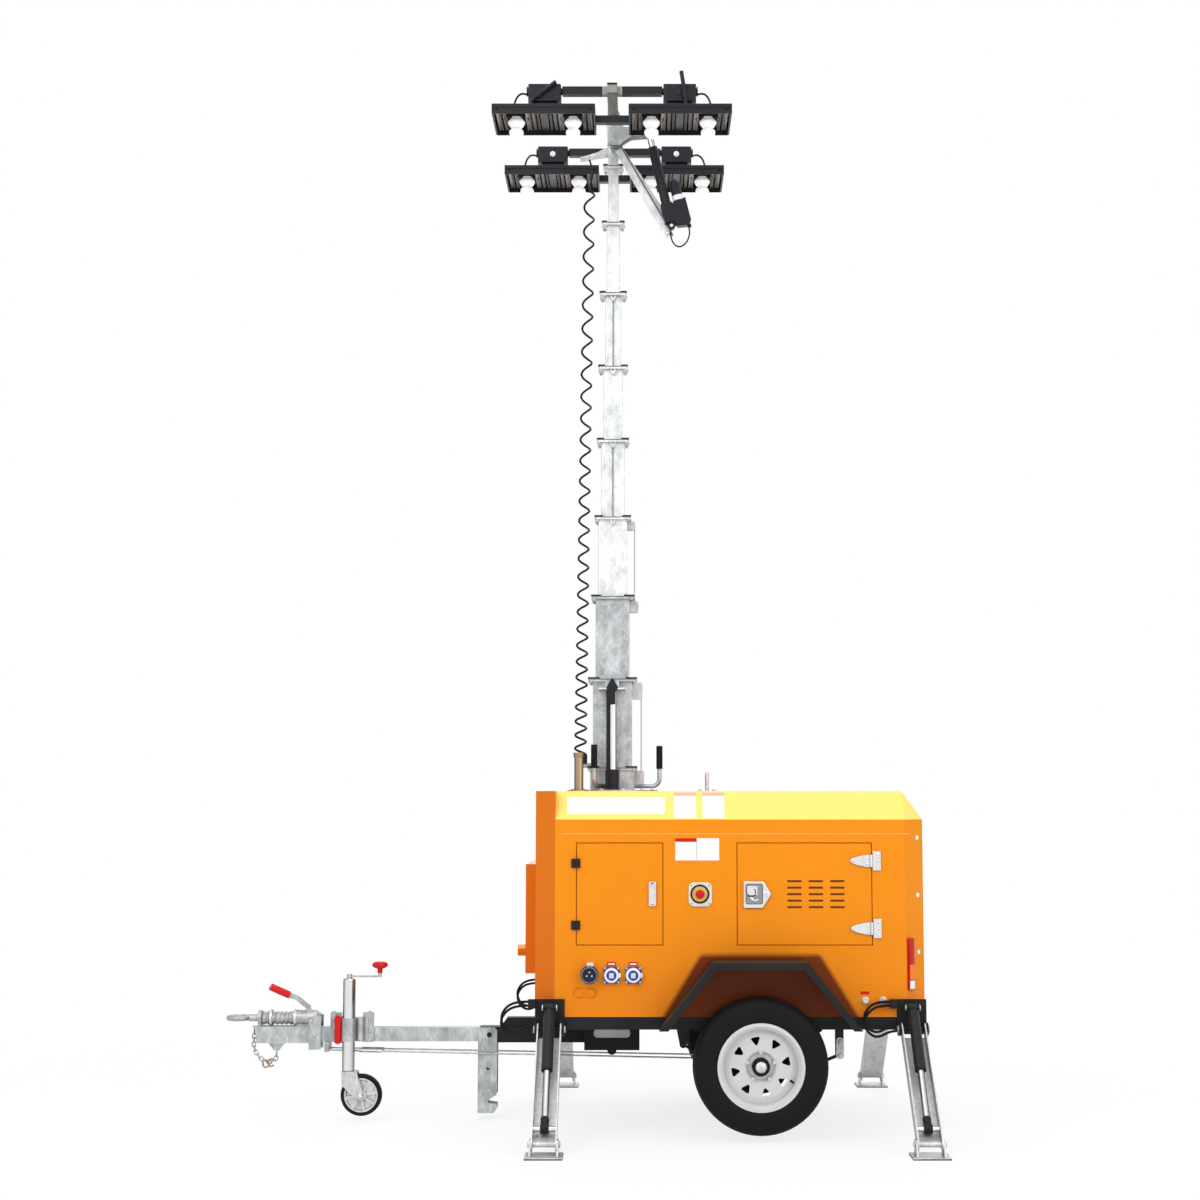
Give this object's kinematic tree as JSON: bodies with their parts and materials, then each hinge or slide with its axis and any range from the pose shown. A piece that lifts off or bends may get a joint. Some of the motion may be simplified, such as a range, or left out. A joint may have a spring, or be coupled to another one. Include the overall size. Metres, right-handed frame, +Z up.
{
  "type": "mobile light tower",
  "caption": "Towable lighting tower: square telescopic mast with tilting lamp trays on a canopied trailer with outrigger legs and drawbar.",
  "frame": {"origin": "on the ground below the middle of the whole length, on the machine's centre line", "axes": "-X along the drawbar towards the towing vehicle, +X to the rear, -Y the pictured side, +Z up"},
  "size_m": [3.3705, 2.368, 5.053],
  "materials": {
    "orange_paint": "gloss orange enamel",
    "black_frame": "satin black",
    "galvanised": "dull zinc",
    "cast_fittings": "grey casting",
    "black_steel": "gloss black",
    "chromed_rod": "bright",
    "tyre_rubber": "matt",
    "wheel_paint": "white enamel",
    "jockey_rubber": "matt",
    "engine_grey": "matt",
    "fitting_plastic": "semi gloss",
    "lamp_lens": "clear red",
    "exhaust_steel": "heat-tinted",
    "bulb_glass": "clear"
  },
  "bodies": {
    "chassis": {"chassis_frame": "black_frame", "drawbar": "galvanised", "coupling": "cast_fittings", "jockey_clamp": "galvanised", "axle": "black_frame", "canopy_front": "orange_paint", "canopy_side_near": "orange_paint", "canopy_side_far": "orange_paint", "canopy_rear": "orange_paint", "canopy_hood": "orange_paint", "fenders": "black_frame", "engine_block": "engine_grey", "side_fittings": "fitting_plastic", "tail_lamps": "lamp_lens", "exhaust_stack": "exhaust_steel", "brake_rods": "black_frame", "hoses": "black_frame", "safety_chain": "galvanised"},
    "parking_stand": {"parking_stand": "galvanised"},
    "jockey_leg": {"jockey_leg": "galvanised"},
    "jockey_fork": {"jockey_fork": "galvanised"},
    "jockey_wheel": {"jockey_wheel": "jockey_rubber"},
    "wheel_near": {"tyre_near": "tyre_rubber", "rim_near": "wheel_paint"},
    "wheel_far": {"tyre_far": "tyre_rubber", "rim_far": "wheel_paint"},
    "door_control_near": {"door_control_near": "orange_paint"},
    "door_service_near": {"door_service_near": "orange_paint"},
    "door_control_far": {"door_control_far": "orange_paint"},
    "door_service_far": {"door_service_far": "orange_paint"},
    "leg_front_near": {"leg_front_near": "galvanised"},
    "ram_barrel_front_near": {"ram_barrel_front_near": "black_steel"},
    "ram_rod_front_near": {"ram_rod_front_near": "chromed_rod"},
    "leg_front_far": {"leg_front_far": "galvanised"},
    "ram_barrel_front_far": {"ram_barrel_front_far": "black_steel"},
    "ram_rod_front_far": {"ram_rod_front_far": "chromed_rod"},
    "leg_rear_near": {"leg_rear_near": "galvanised"},
    "ram_barrel_rear_near": {"ram_barrel_rear_near": "black_steel"},
    "ram_rod_rear_near": {"ram_rod_rear_near": "chromed_rod"},
    "leg_rear_far": {"leg_rear_far": "galvanised"},
    "ram_barrel_rear_far": {"ram_barrel_rear_far": "black_steel"},
    "ram_rod_rear_far": {"ram_rod_rear_far": "chromed_rod"},
    "mast_base": {"mast_base": "galvanised", "coil_cable": "jockey_rubber"},
    "mast_1": {"mast_1": "galvanised"},
    "mast_2": {"mast_2": "galvanised"},
    "mast_3": {"mast_3": "galvanised"},
    "mast_4": {"mast_4": "galvanised"},
    "mast_5": {"mast_5": "galvanised"},
    "mast_6": {"mast_6": "galvanised"},
    "mast_7": {"mast_7": "galvanised"},
    "mast_8": {"mast_8": "galvanised"},
    "lamp_frame": {"lamp_frame": "galvanised"},
    "lamp_trays_near": {"lamp_trays_near": "black_steel", "lamp_bulbs_near": "bulb_glass"},
    "lamp_trays_far": {"lamp_trays_far": "black_steel", "lamp_bulbs_far": "bulb_glass"},
    "tilt_actuator": {"tilt_actuator": "black_steel"},
    "tilt_rod": {"tilt_rod": "chromed_rod"}
  },
  "joints": [
    {"name": "stand_swing", "type": "hinge", "parent": "chassis", "child": "parking_stand", "pos_m": [-0.391, 0, 0.403], "axis": [0, -1, 0], "range_deg": [0, 88]},
    {"name": "jockey_raise", "type": "slide", "parent": "chassis", "child": "jockey_leg", "axis": [0, 0, 1], "range_m": [-0.12, 0]},
    {"name": "jockey_swivel", "type": "hinge", "parent": "jockey_leg", "child": "jockey_fork", "pos_m": [-1.072, -0.088, 0.2], "axis": [0, 0, 1], "continuous": true},
    {"name": "jockey_wheel_spin", "type": "hinge", "parent": "jockey_fork", "child": "jockey_wheel", "pos_m": [-1.006, -0.088, 0.122], "axis": [0, 1, 0], "continuous": true},
    {"name": "wheel_near_spin", "type": "hinge", "parent": "chassis", "child": "wheel_near", "pos_m": [0.895, 0, 0.335], "axis": [0, 1, 0], "continuous": true},
    {"name": "wheel_far_spin", "type": "hinge", "parent": "chassis", "child": "wheel_far", "pos_m": [0.895, 0, 0.335], "axis": [0, 1, 0], "continuous": true},
    {"name": "door_control_near_swing", "type": "hinge", "parent": "chassis", "child": "door_control_near", "pos_m": [0.051, -0.578, 1.1075], "axis": [0, 0, -1], "range_deg": [0, 90]},
    {"name": "door_service_near_swing", "type": "hinge", "parent": "chassis", "child": "door_service_near", "pos_m": [1.424, -0.578, 1.1075], "axis": [0, 0, 1], "range_deg": [0, 90]},
    {"name": "door_control_far_swing", "type": "hinge", "parent": "chassis", "child": "door_control_far", "pos_m": [0.051, 0.578, 1.1075], "axis": [0, 0, 1], "range_deg": [0, 90]},
    {"name": "door_service_far_swing", "type": "hinge", "parent": "chassis", "child": "door_service_far", "pos_m": [1.424, 0.578, 1.1075], "axis": [0, 0, -1], "range_deg": [0, 90]},
    {"name": "leg_front_near_swing", "type": "hinge", "parent": "chassis", "child": "leg_front_near", "pos_m": [-0.072, -0.622, 0.492], "axis": [-1, 0, 0], "range_deg": [0, 110]},
    {"name": "ram_front_near_swing", "type": "hinge", "parent": "chassis", "child": "ram_barrel_front_near", "pos_m": [-0.072, -0.614, 0.59], "axis": [-1, 0, 0], "range_deg": [0, 112]},
    {"name": "ram_front_near_stroke", "type": "slide", "parent": "ram_barrel_front_near", "child": "ram_rod_front_near", "axis": [0, -0.6764, -0.7365], "range_m": [-0.162, 0]},
    {"name": "leg_front_far_swing", "type": "hinge", "parent": "chassis", "child": "leg_front_far", "pos_m": [-0.072, 0.622, 0.492], "axis": [1, 0, 0], "range_deg": [0, 110]},
    {"name": "ram_front_far_swing", "type": "hinge", "parent": "chassis", "child": "ram_barrel_front_far", "pos_m": [-0.072, 0.614, 0.59], "axis": [1, 0, 0], "range_deg": [0, 112]},
    {"name": "ram_front_far_stroke", "type": "slide", "parent": "ram_barrel_front_far", "child": "ram_rod_front_far", "axis": [0, 0.6764, -0.7365], "range_m": [-0.162, 0]},
    {"name": "leg_rear_near_swing", "type": "hinge", "parent": "chassis", "child": "leg_rear_near", "pos_m": [1.603, -0.622, 0.492], "axis": [-1, 0, 0], "range_deg": [0, 110]},
    {"name": "ram_rear_near_swing", "type": "hinge", "parent": "chassis", "child": "ram_barrel_rear_near", "pos_m": [1.603, -0.614, 0.59], "axis": [-1, 0, 0], "range_deg": [0, 112]},
    {"name": "ram_rear_near_stroke", "type": "slide", "parent": "ram_barrel_rear_near", "child": "ram_rod_rear_near", "axis": [0, -0.6764, -0.7365], "range_m": [-0.162, 0]},
    {"name": "leg_rear_far_swing", "type": "hinge", "parent": "chassis", "child": "leg_rear_far", "pos_m": [1.603, 0.622, 0.492], "axis": [1, 0, 0], "range_deg": [0, 110]},
    {"name": "ram_rear_far_swing", "type": "hinge", "parent": "chassis", "child": "ram_barrel_rear_far", "pos_m": [1.603, 0.614, 0.59], "axis": [1, 0, 0], "range_deg": [0, 112]},
    {"name": "ram_rear_far_stroke", "type": "slide", "parent": "ram_barrel_rear_far", "child": "ram_rod_rear_far", "axis": [0, 0.6764, -0.7365], "range_m": [-0.162, 0]},
    {"name": "mast_turn", "type": "hinge", "parent": "chassis", "child": "mast_base", "pos_m": [0.209, 0, 1.589], "axis": [0, 0, 1], "range_deg": [-170, 170]},
    {"name": "mast_1_raise", "type": "slide", "parent": "mast_base", "child": "mast_1", "axis": [0, 0, 1], "range_m": [-0.383, 0.5], "deforming": ["coil_cable"]},
    {"name": "mast_2_raise", "type": "slide", "parent": "mast_1", "child": "mast_2", "axis": [0, 0, 1], "range_m": [-0.3575, 0.4666]},
    {"name": "mast_3_raise", "type": "slide", "parent": "mast_2", "child": "mast_3", "axis": [0, 0, 1], "range_m": [-0.3465, 0.4522]},
    {"name": "mast_4_raise", "type": "slide", "parent": "mast_3", "child": "mast_4", "axis": [0, 0, 1], "range_m": [-0.3395, 0.4431]},
    {"name": "mast_5_raise", "type": "slide", "parent": "mast_4", "child": "mast_5", "axis": [0, 0, 1], "range_m": [-0.3215, 0.4196]},
    {"name": "mast_6_raise", "type": "slide", "parent": "mast_5", "child": "mast_6", "axis": [0, 0, 1], "range_m": [-0.3265, 0.4261]},
    {"name": "mast_7_raise", "type": "slide", "parent": "mast_6", "child": "mast_7", "axis": [0, 0, 1], "range_m": [-0.3145, 0.4104]},
    {"name": "mast_8_raise", "type": "slide", "parent": "mast_7", "child": "mast_8", "axis": [0, 0, 1], "range_m": [-0.2305, 0.3008]},
    {"name": "lamp_tilt", "type": "hinge", "parent": "mast_8", "child": "lamp_frame", "pos_m": [0.209, 0, 5.015], "axis": [0, -1, 0], "range_deg": [0, 90]},
    {"name": "lamp_trays_near_tilt", "type": "hinge", "parent": "lamp_frame", "child": "lamp_trays_near", "pos_m": [0.209, -0.463, 5.008], "axis": [1, 0, 0], "range_deg": [-30, 30]},
    {"name": "lamp_trays_far_tilt", "type": "hinge", "parent": "lamp_frame", "child": "lamp_trays_far", "pos_m": [0.209, 0.463, 5.008], "axis": [1, 0, 0], "range_deg": [-30, 30]},
    {"name": "tilt_actuator_swing", "type": "hinge", "parent": "mast_8", "child": "tilt_actuator", "pos_m": [0.505, -0.097, 4.44], "axis": [0, -1, 0], "range_deg": [0, 2.5]},
    {"name": "tilt_rod_stroke", "type": "slide", "parent": "tilt_actuator", "child": "tilt_rod", "axis": [-0.2282, 0, 0.9736], "range_m": [0, 0.291]}
  ],
  "couplings": [
    {"joint": "ram_front_near_swing", "follows": "leg_front_near_swing", "ratio": 1.0087},
    {"joint": "ram_front_near_stroke", "follows": "leg_front_near_swing", "m_per_rad": -0.08376},
    {"joint": "ram_front_far_swing", "follows": "leg_front_far_swing", "ratio": 1.0087},
    {"joint": "ram_front_far_stroke", "follows": "leg_front_far_swing", "m_per_rad": -0.08376},
    {"joint": "ram_rear_near_swing", "follows": "leg_rear_near_swing", "ratio": 1.0087},
    {"joint": "ram_rear_near_stroke", "follows": "leg_rear_near_swing", "m_per_rad": -0.08376},
    {"joint": "ram_rear_far_swing", "follows": "leg_rear_far_swing", "ratio": 1.0087},
    {"joint": "ram_rear_far_stroke", "follows": "leg_rear_far_swing", "m_per_rad": -0.08376},
    {"joint": "mast_2_raise", "follows": "mast_1_raise", "ratio": 0.9321},
    {"joint": "mast_3_raise", "follows": "mast_1_raise", "ratio": 0.9034},
    {"joint": "mast_4_raise", "follows": "mast_1_raise", "ratio": 0.8851},
    {"joint": "mast_5_raise", "follows": "mast_1_raise", "ratio": 0.8381},
    {"joint": "mast_6_raise", "follows": "mast_1_raise", "ratio": 0.8512},
    {"joint": "mast_7_raise", "follows": "mast_1_raise", "ratio": 0.8198},
    {"joint": "mast_8_raise", "follows": "mast_1_raise", "ratio": 0.6005},
    {"joint": "tilt_actuator_swing", "follows": "lamp_tilt", "ratio": 0.02},
    {"joint": "tilt_rod_stroke", "follows": "lamp_tilt", "m_per_rad": 0.1844}
  ]
}
